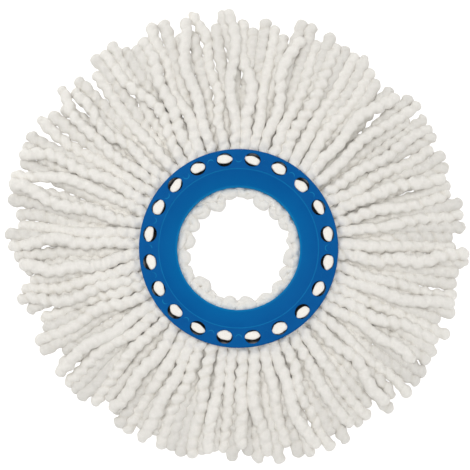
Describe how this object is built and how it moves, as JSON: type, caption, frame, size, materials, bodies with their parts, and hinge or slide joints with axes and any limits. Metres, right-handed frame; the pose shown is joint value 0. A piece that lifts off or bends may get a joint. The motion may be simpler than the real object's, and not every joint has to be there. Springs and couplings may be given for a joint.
{
  "type": "spin mop head",
  "caption": "Round refill head for a spin mop: a plastic ring that snaps onto the mop's disc, with looped microfibre strands all round it.",
  "frame": {"origin": "on the ring's axis, on the surface that the head lies on", "axes": "+Z along the ring's axis, up, towards the mop's disc; +X between two tufts"},
  "size_m": [0.3774, 0.3774, 0.0228],
  "materials": {
    "ring_plastic": "satin",
    "yarn": "matte"
  },
  "bodies": {
    "head": {"top_ring": "ring_plastic", "clamp_ring": "ring_plastic", "tuft_root_01": "yarn", "tuft_root_02": "yarn", "tuft_root_03": "yarn", "tuft_root_04": "yarn", "tuft_root_05": "yarn", "tuft_root_06": "yarn", "tuft_root_07": "yarn", "tuft_root_08": "yarn", "tuft_root_09": "yarn", "tuft_root_10": "yarn", "tuft_root_11": "yarn", "tuft_root_12": "yarn", "tuft_root_13": "yarn", "tuft_root_14": "yarn", "tuft_root_15": "yarn", "tuft_root_16": "yarn", "tuft_root_17": "yarn", "tuft_root_18": "yarn", "tuft_root_19": "yarn", "tuft_root_20": "yarn"},
    "tuft_01": {"tuft_strands_01": "yarn"},
    "tuft_02": {"tuft_strands_02": "yarn"},
    "tuft_03": {"tuft_strands_03": "yarn"},
    "tuft_04": {"tuft_strands_04": "yarn"},
    "tuft_05": {"tuft_strands_05": "yarn"},
    "tuft_06": {"tuft_strands_06": "yarn"},
    "tuft_07": {"tuft_strands_07": "yarn"},
    "tuft_08": {"tuft_strands_08": "yarn"},
    "tuft_09": {"tuft_strands_09": "yarn"},
    "tuft_10": {"tuft_strands_10": "yarn"},
    "tuft_11": {"tuft_strands_11": "yarn"},
    "tuft_12": {"tuft_strands_12": "yarn"},
    "tuft_13": {"tuft_strands_13": "yarn"},
    "tuft_14": {"tuft_strands_14": "yarn"},
    "tuft_15": {"tuft_strands_15": "yarn"},
    "tuft_16": {"tuft_strands_16": "yarn"},
    "tuft_17": {"tuft_strands_17": "yarn"},
    "tuft_18": {"tuft_strands_18": "yarn"},
    "tuft_19": {"tuft_strands_19": "yarn"},
    "tuft_20": {"tuft_strands_20": "yarn"}
  },
  "joints": [
    {"name": "tuft_01_bend", "type": "hinge", "parent": "head", "child": "tuft_01", "pos_m": [0.08336, 0.0132, 0.0043], "axis": [-0.1564, 0.9877, 0], "range_deg": [-15, 50]},
    {"name": "tuft_02_bend", "type": "hinge", "parent": "head", "child": "tuft_02", "pos_m": [0.0752, 0.03832, 0.0043], "axis": [-0.454, 0.891, 0], "range_deg": [-15, 50]},
    {"name": "tuft_03_bend", "type": "hinge", "parent": "head", "child": "tuft_03", "pos_m": [0.05968, 0.05968, 0.0043], "axis": [-0.7071, 0.7071, 0], "range_deg": [-15, 50]},
    {"name": "tuft_04_bend", "type": "hinge", "parent": "head", "child": "tuft_04", "pos_m": [0.03832, 0.0752, 0.0043], "axis": [-0.891, 0.454, 0], "range_deg": [-15, 50]},
    {"name": "tuft_05_bend", "type": "hinge", "parent": "head", "child": "tuft_05", "pos_m": [0.0132, 0.08336, 0.0043], "axis": [-0.9877, 0.1564, 0], "range_deg": [-15, 50]},
    {"name": "tuft_06_bend", "type": "hinge", "parent": "head", "child": "tuft_06", "pos_m": [-0.0132, 0.08336, 0.0043], "axis": [-0.9877, -0.1564, 0], "range_deg": [-15, 50]},
    {"name": "tuft_07_bend", "type": "hinge", "parent": "head", "child": "tuft_07", "pos_m": [-0.03832, 0.0752, 0.0043], "axis": [-0.891, -0.454, 0], "range_deg": [-15, 50]},
    {"name": "tuft_08_bend", "type": "hinge", "parent": "head", "child": "tuft_08", "pos_m": [-0.05968, 0.05968, 0.0043], "axis": [-0.7071, -0.7071, 0], "range_deg": [-15, 50]},
    {"name": "tuft_09_bend", "type": "hinge", "parent": "head", "child": "tuft_09", "pos_m": [-0.0752, 0.03832, 0.0043], "axis": [-0.454, -0.891, 0], "range_deg": [-15, 50]},
    {"name": "tuft_10_bend", "type": "hinge", "parent": "head", "child": "tuft_10", "pos_m": [-0.08336, 0.0132, 0.0043], "axis": [-0.1564, -0.9877, 0], "range_deg": [-15, 50]},
    {"name": "tuft_11_bend", "type": "hinge", "parent": "head", "child": "tuft_11", "pos_m": [-0.08336, -0.0132, 0.0043], "axis": [0.1564, -0.9877, 0], "range_deg": [-15, 50]},
    {"name": "tuft_12_bend", "type": "hinge", "parent": "head", "child": "tuft_12", "pos_m": [-0.0752, -0.03832, 0.0043], "axis": [0.454, -0.891, 0], "range_deg": [-15, 50]},
    {"name": "tuft_13_bend", "type": "hinge", "parent": "head", "child": "tuft_13", "pos_m": [-0.05968, -0.05968, 0.0043], "axis": [0.7071, -0.7071, 0], "range_deg": [-15, 50]},
    {"name": "tuft_14_bend", "type": "hinge", "parent": "head", "child": "tuft_14", "pos_m": [-0.03832, -0.0752, 0.0043], "axis": [0.891, -0.454, 0], "range_deg": [-15, 50]},
    {"name": "tuft_15_bend", "type": "hinge", "parent": "head", "child": "tuft_15", "pos_m": [-0.0132, -0.08336, 0.0043], "axis": [0.9877, -0.1564, 0], "range_deg": [-15, 50]},
    {"name": "tuft_16_bend", "type": "hinge", "parent": "head", "child": "tuft_16", "pos_m": [0.0132, -0.08336, 0.0043], "axis": [0.9877, 0.1564, 0], "range_deg": [-15, 50]},
    {"name": "tuft_17_bend", "type": "hinge", "parent": "head", "child": "tuft_17", "pos_m": [0.03832, -0.0752, 0.0043], "axis": [0.891, 0.454, 0], "range_deg": [-15, 50]},
    {"name": "tuft_18_bend", "type": "hinge", "parent": "head", "child": "tuft_18", "pos_m": [0.05968, -0.05968, 0.0043], "axis": [0.7071, 0.7071, 0], "range_deg": [-15, 50]},
    {"name": "tuft_19_bend", "type": "hinge", "parent": "head", "child": "tuft_19", "pos_m": [0.0752, -0.03832, 0.0043], "axis": [0.454, 0.891, 0], "range_deg": [-15, 50]},
    {"name": "tuft_20_bend", "type": "hinge", "parent": "head", "child": "tuft_20", "pos_m": [0.08336, -0.0132, 0.0043], "axis": [0.1564, 0.9877, 0], "range_deg": [-15, 50]}
  ]
}
